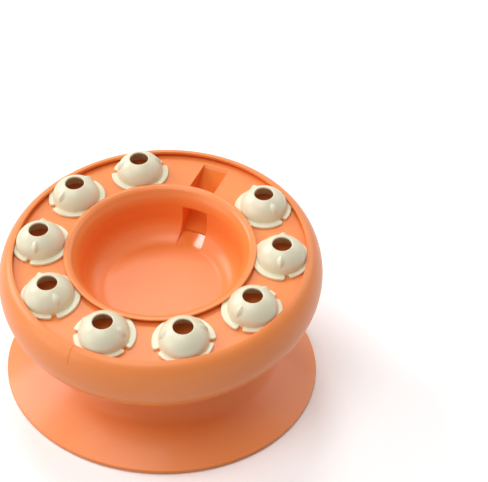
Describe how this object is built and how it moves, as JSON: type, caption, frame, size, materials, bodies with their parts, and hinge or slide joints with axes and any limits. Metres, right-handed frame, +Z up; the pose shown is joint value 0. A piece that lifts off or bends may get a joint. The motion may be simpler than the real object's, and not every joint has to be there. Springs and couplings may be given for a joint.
{
  "type": "cat puzzle feeder",
  "caption": "Tilted barrel-shaped puzzle feeder on a flared foot, with sliding domes round an annular track and a slot whose ramp leads into a lift-out food bowl.",
  "frame": {"origin": "on the floor, in the middle of the box round the whole feeder, 2.8 mm ahead of the foot's axis", "axes": "+Z up; +Y towards the high back of the tray, where the slot is; the tray leans 9 degrees down towards -Y"},
  "size_m": [0.305, 0.3106, 0.1797],
  "materials": {
    "coral_plastic": "satin",
    "ivory_plastic": "satin",
    "foot_rubber": "matt",
    "screw_steel": "plain"
  },
  "bodies": {
    "feeder": {"rim_shell": "coral_plastic", "under_shell": "coral_plastic", "track_deck": "coral_plastic", "chute": "coral_plastic", "tilt_collar": "coral_plastic", "base_skirt": "coral_plastic", "base_ring": "coral_plastic", "foot_1": "foot_rubber", "foot_2": "foot_rubber", "foot_3": "foot_rubber", "foot_4": "foot_rubber", "foot_5": "foot_rubber", "foot_6": "foot_rubber", "tray_screws": "screw_steel", "collar_screws": "screw_steel", "neck_screws": "screw_steel", "ring_screws": "screw_steel", "chute_screws": "screw_steel"},
    "bowl": {"bowl": "coral_plastic"},
    "dome_1": {"dome_1": "ivory_plastic"},
    "dome_2": {"dome_2": "ivory_plastic"},
    "dome_3": {"dome_3": "ivory_plastic"},
    "dome_4": {"dome_4": "ivory_plastic"},
    "dome_5": {"dome_5": "ivory_plastic"},
    "dome_6": {"dome_6": "ivory_plastic"},
    "dome_7": {"dome_7": "ivory_plastic"},
    "dome_8": {"dome_8": "ivory_plastic"},
    "dome_9": {"dome_9": "ivory_plastic"}
  },
  "joints": [
    {"name": "bowl_lift", "type": "slide", "parent": "feeder", "child": "bowl", "axis": [0, -0.1564, 0.9877], "range_m": [0, 0.06]},
    {"name": "dome_1_slide", "type": "hinge", "parent": "feeder", "child": "dome_1", "pos_m": [0, -0.01098, 0.1503], "axis": [0, -0.1564, 0.9877], "range_deg": [-43, 7]},
    {"name": "dome_2_slide", "type": "hinge", "parent": "feeder", "child": "dome_2", "pos_m": [0, -0.01098, 0.1503], "axis": [0, -0.1564, 0.9877], "range_deg": [-7, 7]},
    {"name": "dome_3_slide", "type": "hinge", "parent": "feeder", "child": "dome_3", "pos_m": [0, -0.01098, 0.1503], "axis": [0, -0.1564, 0.9877], "range_deg": [-7, 7]},
    {"name": "dome_4_slide", "type": "hinge", "parent": "feeder", "child": "dome_4", "pos_m": [0, -0.01098, 0.1503], "axis": [0, -0.1564, 0.9877], "range_deg": [-7, 7]},
    {"name": "dome_5_slide", "type": "hinge", "parent": "feeder", "child": "dome_5", "pos_m": [0, -0.01098, 0.1503], "axis": [0, -0.1564, 0.9877], "range_deg": [-7, 7]},
    {"name": "dome_6_slide", "type": "hinge", "parent": "feeder", "child": "dome_6", "pos_m": [0, -0.01098, 0.1503], "axis": [0, -0.1564, 0.9877], "range_deg": [-7, 7]},
    {"name": "dome_7_slide", "type": "hinge", "parent": "feeder", "child": "dome_7", "pos_m": [0, -0.01098, 0.1503], "axis": [0, -0.1564, 0.9877], "range_deg": [-7, 7]},
    {"name": "dome_8_slide", "type": "hinge", "parent": "feeder", "child": "dome_8", "pos_m": [0, -0.01098, 0.1503], "axis": [0, -0.1564, 0.9877], "range_deg": [-7, 7]},
    {"name": "dome_9_slide", "type": "hinge", "parent": "feeder", "child": "dome_9", "pos_m": [0, -0.01098, 0.1503], "axis": [0, -0.1564, 0.9877], "range_deg": [-7, 43]}
  ]
}
